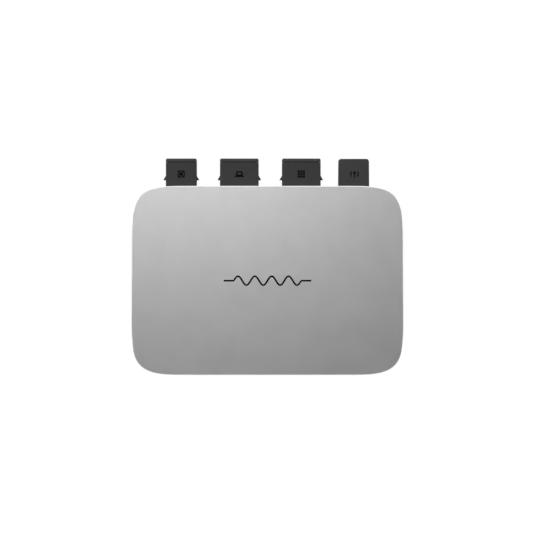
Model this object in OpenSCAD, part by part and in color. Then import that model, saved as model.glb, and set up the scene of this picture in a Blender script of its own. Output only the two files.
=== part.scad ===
// Wall-mounted micro inverter: a flat two-part aluminium case with cooling fins behind, three
// keyed plug sockets and a radio antenna on its top edge, and the power electronics inside.
// The modules draw the case lying on its back: x to the right, y up the wall, z from the wall
// to the front face. stand() turns the finished piece upright, with its rear plane on y = 0.

/* [Case] */
// Width of the case
body_w = 242; // [235:1:300]
// Height of the case, without the sockets
body_h = 168.7; // [165:0.1:220]
// Depth of the case, from the rear plane to the front face
body_d = 29.5; // [29:0.5:40]
// Length of the curved stretch at each corner
corner_extent = 59.5; // [45:0.5:71]
// Power of the corner curve, where 2 is a circle and more is squarer
corner_power = 4.7; // [3:0.1:6]
// Thickness of the housing's side walls
wall = 3; // [2.6:0.1:4]
// Thickness of the housing's floor, behind the board
floor_t = 2.5; // [2:0.1:4]
// Depth of the band that the front cover shows at the side
cover_band = 3; // [2.5:0.1:4]
// Thickness of the front cover's plate
cover_t = 2; // [1.6:0.1:2.4]
// Bright chamfer round the front face
cover_chamfer = 0.65; // [0.3:0.05:1.2]
// Chamfer round the rear face
rear_chamfer = 1.5; // [0.5:0.1:2.5]

/* [Cooling fins] */
// Height of the fins
fin_h = 6; // [4:0.5:8]
// Distance from one groove to the next
fin_pitch = 8; // [6:0.5:10]
// Width of each groove
fin_gap = 5; // [3:0.5:6]
// Half width of the plain band in the middle, for the rating label
plain_half_w = 31; // [28:0.5:40]
// Width left plain at each end of the case
fin_end = 19; // [15:1:30]

/* [Wall mount] */
// Distance between the mounting holes across the case
mount_x = 140; // [120:1:180]
// Distance between the mounting holes up the case
mount_y = 90; // [70:1:120]
// Radius of the tapped mounting holes, before threading
mount_hole_r = 1.65; // [1.2:0.05:2.6]
// Depth of the tapped mounting holes
mount_hole_depth = 7; // [5:0.5:7.5]
// Radius of the solid pad round each mounting hole
mount_pad_r = 7.5; // [5:0.5:9]

/* [Sockets] */
// Width of the narrow sockets, for the grid and the antenna
narrow_w = 27.6; // [24:0.1:32]
// Width of the wide sockets, for the battery and the solar panels
wide_w = 34.6; // [28:0.1:38]
// Depth of a socket, front to back
socket_d = 15; // [12:0.1:15.4]
// Corner radius of a socket, seen from above
socket_r = 2.2; // [1.5:0.1:3]
// Thickness of a socket's wall
socket_wall = 1.8; // [1.4:0.1:2.2]
// Height of a socket above the case
socket_h = 21.2; // [18:0.1:28]
// Distance from the case's end to the middle of the outer sockets
socket_end = 44.05; // [40:0.05:55]
// How much narrower the last space between sockets is
last_space_less = 5; // [0:0.1:8]
// Distance that a latch barb stands out
barb_out = 1.9; // [1:0.1:3]
// Height of a latch barb's flat underside above the case
barb_z = 5.4; // [4:0.1:8]
// Height of a latch barb
barb_h = 3.9; // [3:0.1:6]
// Thickness of a dust cap's flange
cap_flange_h = 2.8; // [2:0.1:4]
// Dark line between a dust cap's flange and its socket
cap_reveal = 0.6; // [0.3:0.1:1]
// Depth that a dust cap reaches into its socket
cap_plug_h = 5.5; // [4:0.1:8]
// Height of the antenna cover above the case
antenna_h = 24.3; // [20:0.1:30]

/* [Board] */
// Space between the housing's floor and the board
board_gap = 2.5; // [2:0.1:3]
// Thickness of the board
board_t = 1.6; // [1:0.1:2.4]

/* [Fasteners] */
// Radius of an M3 screw's shank
m3_r = 1.5; // [1.4:0.05:1.6]
// Radius of an M3 screw's head
m3_head_r = 2.75; // [2.5:0.05:3]
// Height of an M3 screw's head
m3_head_h = 2.2; // [1.5:0.1:2.4]
// Radius of an M2.5 screw's shank
m25_r = 1.25; // [1.15:0.05:1.35]
// Radius of an M2.5 screw's head
m25_head_r = 2.3; // [2:0.05:2.5]
// Height of an M2.5 screw's head
m25_head_h = 1.3; // [1:0.1:1.5]
// Depth below the case's top edge at which the socket screws' heads sit
ear_recess = 2.2; // [1.8:0.1:2.4]
// Radius of the columns that the case screws run through
column_r = 4; // [3.5:0.1:4.5]

/* [Fits] */
// Gap round a piece that slides in or is sealed in
slip = 0.15; // [0.1:0.05:0.3]
// Gap round a piece that is held tight
snug = 0.05; // [0.02:0.01:0.1]

/* [Hidden] */
$fn = 48;
corner_steps = 32;
small = 0.01;
over = 1;

left = -body_w / 2;
right = body_w / 2;
top = body_h / 2;
bottom = -body_h / 2;

floor_z = fin_h + floor_t;
rim_z = body_d - cover_band;
plate_z = body_d - cover_t;
board_z = floor_z + board_gap;
board_face = board_z + board_t;
socket_z = (floor_z + rim_z - 1.5) / 2;

seal_in = 0.9;
seal_w = 1.4;
seal_h = 1;

// Sockets from left to right: grid, battery, solar, antenna
socket_w = [narrow_w, wide_w, wide_w, narrow_w];
first_x = left + socket_end;
last_x = right - socket_end;
free_w = (last_x - narrow_w / 2) - (first_x + narrow_w / 2) - 2 * wide_w;
space = (free_w + last_space_less) / 3;
socket_x = [
    first_x,
    first_x + narrow_w / 2 + space + wide_w / 2,
    last_x - narrow_w / 2 - (space - last_space_less) - wide_w / 2,
    last_x
];

flange_h = 3;
ear = 7;
ear_screw = m25_head_r + slip + 1.1;
insert_r = 1.9;
insert_h = 2.6;
cavity_d = socket_d - 2 * socket_wall;
carrier_top = 4;
carrier_foot = 2.6;
contact_back = 1;
tail_r = 0.9;
tail_bend = 1.5;
tail_down = 16.5;
// Half widths inside the sockets
narrow_in = narrow_w / 2 - socket_wall;
wide_in = wide_w / 2 - socket_wall;
// Power contacts of each socket: [x, radius, height of the tip]
contacts = [
    [for (k = [-1, 0, 1]) [k * (narrow_in - 5), 1.5, k == 0 ? 14.5 : 13]],
    [for (k = [-1, 1]) [k * (wide_in - 4.5), 1.75, 13]],
    [for (k = [-3, -1, 1, 3]) [k / 3 * (wide_in - 4.1), 1.5, 13]]
];
// Square signal contacts of the battery socket: [x, distance behind the power contacts]
signal_w = 0.8;
signal_tip = 11.5;
signals = [for (x = [-3.5, 0, 3.5]) for (back = [-2, 2]) [x, back]];

cap_travel = 20;
cap_play = 0.25;
rib_play = 0.07;

// Middle of the space between socket i and the next one
function between(i) =
    (socket_x[i] + socket_w[i] / 2 + socket_x[i + 1] - socket_w[i + 1] / 2) / 2;

// Case screws: the corners, between the sockets, the ends and the bottom edge
corner_in = [12, 13];
edge_in = 6.5;
column_top_gap = 2.5;
column_top = rim_z - column_top_gap;
free_column_y = top - 13;
columns = concat(
    [for (x = [left + corner_in[0], right - corner_in[0]])
        for (y = [bottom + corner_in[1], top - corner_in[1]]) [x, y]],
    [for (i = [0, 2]) [between(i), free_column_y]],
    [for (x = [left + edge_in, right - edge_in]) [x, 0]],
    [for (x = [-50, 50]) [x, bottom + edge_in]]
);
screw_seat = 3;
screw_tip = body_d - 1.5;
screw_recess_r = m3_head_r + 0.35;
recess_pad_r = 5.5;

mounts = [for (x = [-mount_x / 2, mount_x / 2]) for (y = [-mount_y / 2, mount_y / 2]) [x, y]];

// Depth that the vent's snap ring reaches behind the wall
vent_tail = 1.5;

// Board and what is on it
board_in = wall + vent_tail + 0.5;
board_top = top - 12;
standoff_r = 3.5;
board_screws_at = [
    [left + 17, 48], [left + 17, -48], [right - 17, 48], [right - 17, -48],
    [3, top - 26], [25, bottom + 12]
];
transistor = [10, 10.5, 2];
transistors_at = concat(
    [for (y = [-62, -48, -34, -20]) [left + 71, y]],
    [for (y = [-8, 8, 24, 40]) [3, y]],
    [for (y = [-8, 8]) [right - 66, y]]
);
relay = [20, 15.5, 13];
relays_at = [[left + 35, top - 34], [left + 59, top - 34]];
relay_base_h = 2;
relay_hinge = [-7, 10.1];
varistors_at = [[left + 27, top - 50], [left + 35, top - 50], [left + 43, top - 50]];
fuses_at = [[left + 61, top - 51], [right - 33, top - 44]];
chokes_at = [[left + 31, bottom + 62], [left + 56, bottom + 24]];
common_choke_at = [left + 26, top - 72];
transformers_at = [[-24, top - 42], [-24, top - 80]];
bulk_at = [for (x = [-27, 3]) for (i = [0:3]) [x, bottom + 15.5 + 13.5 * i]];
bulk_r = 6.3;
bulk_l = 26;
boosts_at = [[24, top - 44], [52, top - 44]];
film = [18, 8, 12];
films_at = concat(
    [for (y = [top - 64, top - 75]) [left + 59, y]],
    [[left + 28, bottom + 12], [28, top - 66], [50, top - 66], [right - 34, top - 58]]
);
control = [42, 48];
control_at = [right - 34, bottom + 58];
control_z = board_face + 5;
control_t = 1.2;
earth_at = [left + 9, top - 55];
light_x = between(1);
light_r = 2;
light_foot = board_top + 1.5 - top;
vent_r = 6.2;
vent_stem_r = 3.9;
label = [46, 66];
label_y = -34;
label_depth = 0.3;

// ---- Shared shapes ------------------------------------------------------------------------

// Outline of the case, moved in by inset: straight sides joined by superellipse corners
function outline(inset) =
    let (w = body_w / 2 - inset, h = body_h / 2 - inset, a = corner_extent - inset)
    [for (q = [0:3]) for (i = [0:corner_steps])
        let (
            t = 90 * (q % 2 == 0 ? i : corner_steps - i) / corner_steps,
            u = a * pow(cos(t), 2 / corner_power),
            v = a * pow(sin(t), 2 / corner_power)
        )
        [(q == 0 || q == 3 ? 1 : -1) * (w - a + u), (q < 2 ? 1 : -1) * (h - a + v)]];

module stand() rotate([90, 0, 0]) children();

module plate(z0, z1, inset = 0)
    translate([0, 0, z0]) linear_extrude(z1 - z0) polygon(outline(inset));

module rounded_rect(w, d, r) {
    square([w - 2 * r, d], center = true);
    square([w, d - 2 * r], center = true);
    for (x = [-1, 1]) for (y = [-1, 1])
        translate([x * (w / 2 - r), y * (d / 2 - r)]) circle(r);
}

module bar(z0, z1, w, d, r)
    translate([0, 0, z0]) linear_extrude(z1 - z0) rounded_rect(w, d, r);

module box_on(at, size, z)
    translate([at[0] - size[0] / 2, at[1] - size[1] / 2, z]) cube(size);

module disc(at, r, z0, z1) translate([at[0], at[1], z0]) cylinder(r = r, h = z1 - z0);

// Places a socket's own frame: z up out of the case's top edge, y towards the wall
module on_top(x) translate([x, top, socket_z]) rotate([-90, 0, 0]) children();

// Screw with its tip at z = length and the underside of its head at z = 0
module screw(length, shank_r = m3_r, head_r = m3_head_r, head_h = m3_head_h)
    difference() {
        union() {
            cylinder(r = shank_r, h = length);
            translate([0, 0, -head_h]) cylinder(r = head_r, h = head_h);
        }
        translate([0, 0, -head_h - over]) cylinder(r = 1.3, h = head_h * 0.6 + over, $fn = 6);
    }

function unit(v) = v / norm(v);
function along(p, i) = unit(p[min(i + 1, len(p) - 1)] - p[max(i - 1, 0)]);

// Curve through the points p, with steps points for each stretch
function smooth(p, steps) = concat(
    [for (i = [0:len(p) - 2]) for (s = [0:steps - 1])
        let (
            t = s / steps, a = p[max(i - 1, 0)], b = p[i], c = p[i + 1],
            d = p[min(i + 2, len(p) - 1)]
        )
        (2 * b + (c - a) * t + (2 * a - 5 * b + 4 * c - d) * t * t
            + (3 * b - a - 3 * c + d) * t * t * t) / 2],
    [p[len(p) - 1]]
);

// Round tube along the points p; hint is a direction that p never runs along
module tube(p, r, hint, sides = 8) {
    n = len(p);
    ring_points = [for (i = [0:n - 1])
        let (t = along(p, i), u = unit(cross(hint, t)), v = cross(t, u))
        for (k = [0:sides - 1])
            p[i] + r * (cos(360 * k / sides) * u + sin(360 * k / sides) * v)];
    polyhedron(
        points = ring_points,
        faces = concat(
            [[for (k = [0:sides - 1]) k]],
            [[for (k = [sides - 1:-1:0]) (n - 1) * sides + k]],
            [for (i = [0:n - 2]) for (k = [0:sides - 1])
                [i * sides + k, (i + 1) * sides + k, (i + 1) * sides + (k + 1) % sides,
                    i * sides + (k + 1) % sides]]
        )
    );
}

// ---- Case ---------------------------------------------------------------------------------

module front_cover() color("silver") difference() {
    union() {
        difference() {
            hull() {
                plate(rim_z, body_d - cover_chamfer);
                plate(rim_z, body_d, cover_chamfer);
            }
            plate(rim_z - over, plate_z, wall);
        }
        intersection() {
            plate(column_top, plate_z + small, wall + slip);
            for (c = columns) disc(c, column_r, column_top, plate_z + small);
        }
    }
    for (c = columns) disc(c, m3_r + snug, column_top - over, screw_tip);
}

module main_housing() color("silver") difference() {
    union() {
        difference() {
            hull() {
                plate(0, rim_z, rear_chamfer);
                plate(rear_chamfer, rim_z);
            }
            plate(floor_z, rim_z + over, wall);
            difference() {
                fin_grooves();
                for (m = mounts) disc(m, mount_pad_r, -over, fin_h + over);
                for (c = columns) disc(c, recess_pad_r, -over, fin_h + over);
            }
            for (i = [0:3]) socket_seat(i);
        }
        intersection() {
            plate(floor_z - small, column_top, seal_in);
            union() {
                for (c = columns) disc(c, column_r, floor_z - small, column_top);
                for (s = board_screws_at) disc(s, standoff_r, floor_z - small, board_z);
                disc(earth_at, column_r, floor_z - small, board_face);
            }
        }
    }
    seal_groove();
    for (c = columns) {
        disc(c, screw_recess_r, -over, screw_seat);
        disc(c, m3_r + slip, -over, column_top + over);
    }
    for (m = mounts) disc(m, mount_hole_r, -over, mount_hole_depth);
    for (s = board_screws_at) disc(s, m3_r + snug, board_z - 4, board_z + over);
    disc(earth_at, m3_r + snug, board_face - 5, board_face + over);
    translate([-label[0] / 2, label_y - label[1] / 2, -over])
        cube([label[0], label[1], label_depth + over]);
    light_hole();
    vent_hole();
}

// Grooves between the fins, open at the top and the bottom so that warm air rises through them
module fin_grooves() {
    groove_count = floor((right - fin_end - plain_half_w) / fin_pitch) + 1;
    for (side = [-1, 1]) for (i = [0:groove_count - 1])
        translate([side * (plain_half_w + fin_gap / 2 + i * fin_pitch) - fin_gap / 2,
            bottom - over, -over])
            cube([fin_gap, body_h + 2 * over, fin_h + over]);
}

module seal_groove() difference() {
    plate(rim_z - seal_h, rim_z + over, seal_in);
    plate(rim_z - seal_h - over, rim_z + 2 * over, seal_in + seal_w);
}

// Hole, flat seat and screw holes for one socket in the top wall
module socket_seat(i) on_top(socket_x[i]) {
    w = socket_w[i];
    bar(-wall - over, over, w + 2 * slip, socket_d + 2 * slip, socket_r + slip);
    translate([-w / 2 - ear - slip, -socket_d / 2 - slip, -wall - flange_h - over])
        cube([w + 2 * ear + 2 * slip, socket_d + 2 * slip, flange_h + over]);
    for (x = ear_screws(i)) translate([x, 0, 0]) {
        translate([0, 0, -wall - over]) cylinder(r = m25_r + slip, h = wall + 2 * over);
        translate([0, 0, -ear_recess]) cylinder(r = m25_head_r + 2 * slip, h = ear_recess + over);
    }
}

function ear_screws(i) = [for (s = [-1, 1]) s * (socket_w[i] / 2 + ear_screw)];

module light_hole() on_top(light_x)
    translate([0, 0, -wall - over]) cylinder(r = light_r + snug, h = wall + 2 * over);

module vent_hole() translate([0, bottom, socket_z]) rotate([90, 0, 0]) {
    translate([0, 0, -wall - over]) cylinder(r = vent_stem_r + slip, h = wall + 2 * over);
    translate([0, 0, -1.6]) cylinder(r = vent_r + slip, h = 1.6 + over);
}

module perimeter_seal() color("dimgray") difference() {
    plate(rim_z - seal_h, rim_z, seal_in + snug);
    plate(rim_z - seal_h - over, rim_z + over, seal_in + seal_w - snug);
}

module housing_screws() color("gray")
    for (c = columns) translate([c[0], c[1], screw_seat]) screw(screw_tip - screw_seat);

// Printed mark: a level line that turns into waves, for direct to alternating current
module front_mark() color("black") {
    mark_w = 78;
    lead = 9;
    wave_h = 4;
    stroke = 0.8;
    waves = 4;
    steps = 80;
    wave_w = mark_w - 2 * lead;
    centre = concat(
        [[-mark_w / 2, 0]],
        [for (i = [0:steps]) [-wave_w / 2 + wave_w * i / steps,
            wave_h * sin(360 * waves * i / steps)]],
        [[mark_w / 2, 0]]
    );
    n = len(centre);
    side = [for (i = [0:n - 1]) let (t = along(centre, i)) [-t[1], t[0]] * stroke];
    translate([0, 0, body_d]) linear_extrude(0.05) polygon(concat(
        [for (i = [0:n - 1]) centre[i] + side[i]],
        [for (i = [n - 1:-1:0]) centre[i] - side[i]]
    ));
}

module insulation_sheet() color("ivory") difference() {
    plate(plate_z - 0.3, plate_z, wall + 4);
    for (c = columns) disc(c, column_r + 1, plate_z - over, plate_z + over);
}

module rating_label() color("white")
    translate([-label[0] / 2 + slip, label_y - label[1] / 2 + slip, label_depth - 0.15])
        cube([label[0] - 2 * slip, label[1] - 2 * slip, 0.15]);

// ---- Pressure vent in the bottom wall -------------------------------------------------------

// Places the vent's own frame: z out of the bottom edge
module at_vent() translate([0, bottom, socket_z]) rotate([90, 0, 0]) children();

module vent_cap() color("dimgray") at_vent() difference() {
    union() {
        translate([0, 0, -1.1]) cylinder(r = vent_r, h = 1.1);
        translate([0, 0, -wall - vent_tail])
            cylinder(r = vent_stem_r, h = wall + vent_tail - 1.1 + small);
        translate([0, 0, -wall - vent_tail])
            cylinder(r = vent_stem_r + 0.5, h = vent_tail - 0.1);
    }
    translate([0, 0, -wall - 2 * over]) cylinder(r = 2.4, h = wall + over + 0.3);
    for (a = [0:60:300]) rotate([0, 0, a]) translate([1.2, -0.4, -1.5]) cube([3.4, 0.8, 2.5]);
}

module vent_membrane() color("white") at_vent()
    translate([0, 0, -wall - vent_tail]) cylinder(r = 2.4 - snug, h = 0.3);

module vent_seal() color("black") at_vent() difference() {
    translate([0, 0, -1.6]) cylinder(r = vent_r - 0.6, h = 0.5);
    translate([0, 0, -1.6 - over]) cylinder(r = vent_stem_r + 2 * slip, h = 0.5 + 2 * over);
}

module status_light_pipe() color("whitesmoke") on_top(light_x) {
    translate([0, 0, light_foot]) cylinder(r = light_r, h = -light_foot);
    translate([0, 0, -wall - 2]) cylinder(r = light_r + 0.6, h = 2);
}

// ---- Sockets on the top edge ----------------------------------------------------------------

module socket_shell(i) color("#3a3a3a") on_top(socket_x[i]) {
    w = socket_w[i];
    difference() {
        union() {
            bar(-wall - small, socket_h, w, socket_d, socket_r);
            bar(-wall - flange_h, -wall, w + 2 * ear, socket_d, socket_r);
            for (s = [0, 1]) mirror([s, 0, 0]) latch_barb(w / 2);
        }
        bar(-wall - flange_h - over, socket_h + over, w - 2 * socket_wall, cavity_d, 1);
        difference() {
            bar(-wall + 0.9, -wall + 2.1, w + over, socket_d + over, socket_r);
            bar(-wall + 0.5, -wall + 2.5, w - 1.6, socket_d - 1.6, socket_r - 0.8);
        }
        for (x = ear_screws(i)) translate([x, 0, -wall - flange_h - over])
            cylinder(r = insert_r + snug, h = flange_h + 2 * over);
    }
}

// Wedge that the cable's plug snaps over: sloped on top, flat underneath
module latch_barb(x) translate([x, 4, 0]) rotate([90, 0, 0]) linear_extrude(8)
    polygon([[-0.5, barb_z], [barb_out, barb_z], [barb_out, barb_z + 0.7],
        [0, barb_z + barb_h], [-0.5, barb_z + barb_h]]);

module contact_carrier(i) color("darkslategray") on_top(socket_x[i]) {
    w = socket_w[i];
    difference() {
        union() {
            bar(-wall - flange_h - small, carrier_top, w - 2 * socket_wall - 2 * snug,
                cavity_d - 2 * snug, 0.95);
            bar(-wall - flange_h - carrier_foot, -wall - flange_h, w - 1, socket_d - 1, 1.5);
        }
        for (c = contacts[i]) translate([c[0], contact_back, -20])
            cylinder(r = c[1] + snug, h = 40);
        if (i == 1) for (s = signals) translate([s[0], contact_back + s[1], 0])
            cube([signal_w + 2 * snug, signal_w + 2 * snug, 40], center = true);
    }
}

// Pins with their tails bent back into the board
module socket_contacts(i) color("gold") on_top(socket_x[i]) {
    pin_bottom = -wall - flange_h - carrier_foot - 0.5;
    back = socket_z - contact_back - board_z;
    for (c = contacts[i]) translate([c[0], contact_back, 0]) {
        translate([0, 0, pin_bottom]) cylinder(r = c[1], h = c[2] - c[1] - pin_bottom);
        translate([0, 0, c[2] - c[1]]) sphere(c[1]);
        translate([0, 0, -tail_down]) cylinder(r = tail_r, h = tail_down + pin_bottom + small);
        translate([0, tail_bend, -tail_down]) rotate([-90, 0, -90])
            rotate_extrude(angle = 90) translate([tail_bend, 0]) circle(tail_r);
        translate([0, tail_bend - small, -tail_down - tail_bend]) rotate([-90, 0, 0])
            cylinder(r = tail_r, h = back - tail_bend + small);
    }
    if (i == 1) for (s = signals)
        translate([s[0] - signal_w / 2, contact_back + s[1] - signal_w / 2, s[1] - tail_down]) {
            cube([signal_w, signal_w, tail_down - s[1] + signal_tip]);
            cube([signal_w, back - s[1] + signal_w / 2, signal_w]);
        }
}

module socket_seal(i) color("orangered") on_top(socket_x[i]) {
    w = socket_w[i];
    difference() {
        bar(-wall + 0.9 + snug, -wall + 2.1 - snug, w + 2 * slip, socket_d + 2 * slip,
            socket_r + slip);
        bar(-wall, -wall + 3, w - 1.6, socket_d - 1.6, socket_r - 0.8);
    }
}

// Push-in rubber cap: flange with the socket's own outline, ribbed plug, and a lip behind it
module dust_cap(i) color("#2e2e2e") on_top(socket_x[i]) {
    w = socket_w[i];
    seat = socket_h;
    base = seat + cap_reveal;
    peak = base + cap_flange_h;
    in_w = w - 2 * socket_wall;
    hull() {
        bar(base, peak - 1.8, w, socket_d, socket_r);
        bar(base, peak - 0.8, w - 0.4, socket_d - 0.4, socket_r - 0.2);
        bar(base, peak - 0.25, w - 1, socket_d - 1, socket_r - 0.5);
        bar(base, peak, w - 2, socket_d - 2, socket_r - 1);
    }
    bar(seat, base + small, w - 2.4, socket_d - 2.4, socket_r - 1.2);
    bar(seat - cap_plug_h, seat + small, in_w - 2 * cap_play, cavity_d - 2 * cap_play, 0.8);
    for (z = [1, 3.3]) bar(seat - cap_plug_h + z, seat - cap_plug_h + z + 0.8,
        in_w - 2 * rib_play, cavity_d - 2 * rib_play, 0.95);
    translate([-5, socket_d / 2 - 1, peak - 2.3]) cube([10, 3.5, 1.4]);
}

module socket_screws() color("gray")
    for (i = [0:3]) on_top(socket_x[i]) for (x = ear_screws(i))
        translate([x, 0, -ear_recess]) rotate([180, 0, 0])
            screw(3.5, m25_r, m25_head_r, m25_head_h);

module socket_inserts() color("goldenrod")
    for (i = [0:3]) on_top(socket_x[i]) for (x = ear_screws(i))
        translate([x, 0, -wall - insert_h - slip]) difference() {
            cylinder(r = insert_r, h = insert_h);
            translate([0, 0, -over]) cylinder(r = m25_r + snug, h = insert_h + 2 * over);
        }

// ---- Antenna --------------------------------------------------------------------------------

module antenna_cover() color("#363636") on_top(socket_x[3]) {
    w = socket_w[3];
    draft = 0.2;
    difference() {
        union() {
            bar(-wall - small, 0, w, socket_d, socket_r);
            hull() {
                bar(0, 1, w, socket_d, socket_r);
                bar(0, antenna_h - 2, w - 2 * draft, socket_d - 2 * draft, socket_r - draft);
                bar(0, antenna_h - 0.6, w - 2 * draft - 1.2, socket_d - 2 * draft - 1.2,
                    socket_r - draft);
                bar(0, antenna_h, w - 2 * draft - 3.6, socket_d - 2 * draft - 3.6, 1);
            }
            bar(-wall - flange_h, -wall, w + 2 * ear, socket_d, socket_r);
        }
        bar(-wall - flange_h - over, antenna_h - 2, w - 2 * socket_wall - 2 * draft,
            cavity_d - 2 * draft, 1);
        difference() {
            bar(-wall + 0.9, -wall + 2.1, w + over, socket_d + over, socket_r);
            bar(-wall + 0.5, -wall + 2.5, w - 1.6, socket_d - 1.6, socket_r - 0.8);
        }
        for (x = ear_screws(3)) translate([x, 0, -wall - flange_h - over])
            cylinder(r = insert_r + snug, h = flange_h + 2 * over);
    }
}

antenna_board_w = 18;
antenna_board_t = 1;
coax_r = 0.7;

module antenna_foot() color("darkslategray") on_top(socket_x[3]) {
    w = socket_w[3];
    difference() {
        union() {
            bar(-wall - flange_h - small, 0, w - 2 * socket_wall - 0.6, cavity_d - 0.6, 0.95);
            bar(-wall - flange_h - carrier_foot, -wall - flange_h, w - 1, socket_d - 1, 1.5);
        }
        translate([-antenna_board_w / 2 - snug, -antenna_board_t / 2 - snug, -5])
            cube([antenna_board_w + 2 * snug, antenna_board_t + 2 * snug, 10]);
        translate([0, antenna_board_t / 2 + coax_r + 0.2, -20])
            cylinder(r = coax_r + slip, h = 30);
    }
}

// Small upright board with a raised meander of track on its front
module antenna_board() color("seagreen") on_top(socket_x[3]) {
    translate([-antenna_board_w / 2, -antenna_board_t / 2, -5])
        cube([antenna_board_w, antenna_board_t, 25]);
    for (i = [0:4]) translate([-7, -antenna_board_t / 2 - 0.1, 4 + 3 * i]) {
        cube([14, 0.1 + small, 0.8]);
        if (i < 4) translate([i % 2 == 0 ? 13.2 : 0, 0, 0]) cube([0.8, 0.1 + small, 3]);
    }
}

// Thin cable from the antenna board to the radio module
coax_z = socket_z - antenna_board_t / 2 - coax_r - 0.2;
antenna_coax_route = [
    [socket_x[3], top + 6, coax_z],
    [socket_x[3], top - 2, coax_z],
    [socket_x[3], top - 10, coax_z],
    [socket_x[3], top - 13, coax_z],
    [socket_x[3] + 3, top - 24, board_face + 5.4],
    [socket_x[3] + 4, top - 36, board_face + 9],
    [socket_x[3] + 2, top - 50, board_face + film[2] + 1.1],
    [socket_x[3] + 4, top - 66, board_face + film[2] + 1.1],
    [control_at[0] + 8, control_at[1] + control[1] / 2 + 4, 24],
    [control_at[0] + 8, control_at[1] + control[1] / 2 - 2, control_z + control_t + 1.6],
    [control_at[0] + 8, control_at[1] + control[1] / 2 - 4, control_z + control_t + 1.6]
];

module antenna_coax() color("black") {
    tube(smooth(antenna_coax_route, 6), coax_r, [1, 0, 0]);
    end = antenna_coax_route[len(antenna_coax_route) - 1];
    translate([end[0], end[1] - 1, control_z + control_t]) cylinder(r = 1.6, h = 2.6);
}

// ---- Main board -----------------------------------------------------------------------------

module main_board() color("darkgreen") difference() {
    intersection() {
        plate(board_z, board_face, board_in);
        translate([left, bottom, board_z]) cube([body_w, board_top - bottom, board_t]);
    }
    for (c = columns) disc(c, column_r + 1, board_z - over, board_face + over);
    disc(earth_at, column_r + 1, board_z - over, board_face + over);
    for (s = board_screws_at) disc(s, m3_r + slip, board_z - over, board_face + over);
    for (i = [0:2]) for (c = contacts[i])
        disc([socket_x[i] + c[0], top - tail_down - tail_bend], tail_r + slip,
            board_z - over, board_face + over);
    for (s = signals)
        box_on([socket_x[1] + s[0], top - tail_down + s[1] + signal_w / 2],
            [signal_w + 2 * slip, signal_w + 2 * slip, board_t + 2 * over], board_z - over);
}

module board_screws() color("gray")
    for (s = board_screws_at) translate([s[0], s[1], board_face]) rotate([180, 0, 0]) screw(5);

module power_transistors() color("#222222")
    for (t = transistors_at) box_on(t, transistor, board_z - transistor[2]);

module thermal_pads() color("lightskyblue")
    for (t = transistors_at)
        box_on(t, [transistor[0], transistor[1], board_gap - transistor[2]], floor_z);

// Compound poured under the board, which carries its heat into the finned floor
module potting_layer() color("slategray") difference() {
    intersection() {
        plate(floor_z, board_z, wall + 2 * snug);
        translate([left, bottom, floor_z]) cube([body_w, board_top - bottom, board_gap]);
    }
    for (c = columns) disc(c, column_r + slip, floor_z - over, board_z + over);
    for (s = board_screws_at) disc(s, standoff_r + slip, floor_z - over, board_z + over);
    disc(earth_at, column_r + slip, floor_z - over, board_z + over);
    for (t = transistors_at) box_on(
        t, [transistor[0] + 2 * slip, transistor[1] + 2 * slip, board_gap + 2 * over],
        floor_z - over
    );
}

// Ferrite core of an E shape pair: two side legs, a round centre leg and two backs
transformer = [38, 34, 13.2];
core_back = 3.2;
centre_leg_r = 6.5;

module transformer_cores() color("#2b2b2b") for (t = transformers_at)
    translate([t[0], t[1], board_face]) {
        for (z = [0, transformer[2] - core_back])
            box_on([0, 0], [transformer[0], 22, core_back], z);
        for (s = [-1, 1])
            box_on([s * (transformer[0] / 2 - 2), 0], [4, 22, transformer[2]], 0);
        cylinder(r = centre_leg_r, h = transformer[2]);
    }

module transformer_windings() color("peru") for (t = transformers_at)
    translate([t[0], t[1], board_face + core_back + 0.3]) difference() {
        union() for (k = [0:4])
            translate([0, 0, k * 1.24]) cylinder(r = k % 2 == 0 ? 14.6 : 14.2, h = 1.24 + small);
        translate([0, 0, -over]) cylinder(r = centre_leg_r + 0.4, h = 10);
    }

// Toroid lying on the board: [outer radius, inner radius, height] of the core
choke_core = [15, 8.5, 9];
common_core = [12, 7, 7];
wire = 1.3;

module toroid(size) translate([0, 0, wire + 0.3]) difference() {
    cylinder(r = size[0], h = size[2]);
    translate([0, 0, -over]) cylinder(r = size[1], h = size[2] + 2 * over);
}

// One turn of wire round a toroid, as a rounded rectangular loop
module turn(size, a) rotate([0, 0, a])
    translate([(size[0] + size[1]) / 2, wire / 2, size[2] / 2 + wire + 0.3])
        rotate([90, 0, 0]) linear_extrude(wire) difference() {
            rounded_rect(size[0] - size[1] + 0.3 + 2 * wire, size[2] + 0.3 + 2 * wire, 1.6);
            rounded_rect(size[0] - size[1] + 0.3, size[2] + 0.3, 0.4);
        }

module filter_choke_cores() color("gold") {
    for (c = chokes_at) translate([c[0], c[1], board_face]) toroid(choke_core);
    translate([common_choke_at[0], common_choke_at[1], board_face]) toroid(common_core);
}

module filter_choke_windings() color("chocolate") {
    for (c = chokes_at) translate([c[0], c[1], board_face])
        for (a = [0:20:339]) turn(choke_core, a);
    translate([common_choke_at[0], common_choke_at[1], board_face])
        for (half = [0, 180]) for (a = [-60:20:60]) turn(common_core, half + a);
}

module boost_inductors() color("#404040") for (b = boosts_at)
    translate([b[0], b[1], board_face]) {
        linear_extrude(12) rounded_rect(24, 24, 3);
        translate([0, 0, 12 - small]) cylinder(r = 9, h = 0.6);
    }

// Cans lying on their sides, with a rolled groove near the sealed end
module bulk_capacitors() color("#30343c") for (b = bulk_at)
    translate([b[0] - bulk_l / 2, b[1], board_face + bulk_r]) rotate([0, 90, 0])
        difference() {
            cylinder(r = bulk_r, h = bulk_l);
            translate([0, 0, 3]) difference() {
                cylinder(r = bulk_r + over, h = 1);
                translate([0, 0, -over]) cylinder(r = bulk_r - 0.5, h = 1 + 2 * over);
            }
        }

module film_capacitors() color("khaki") for (f = films_at) box_on(f, film, board_face);

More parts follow.
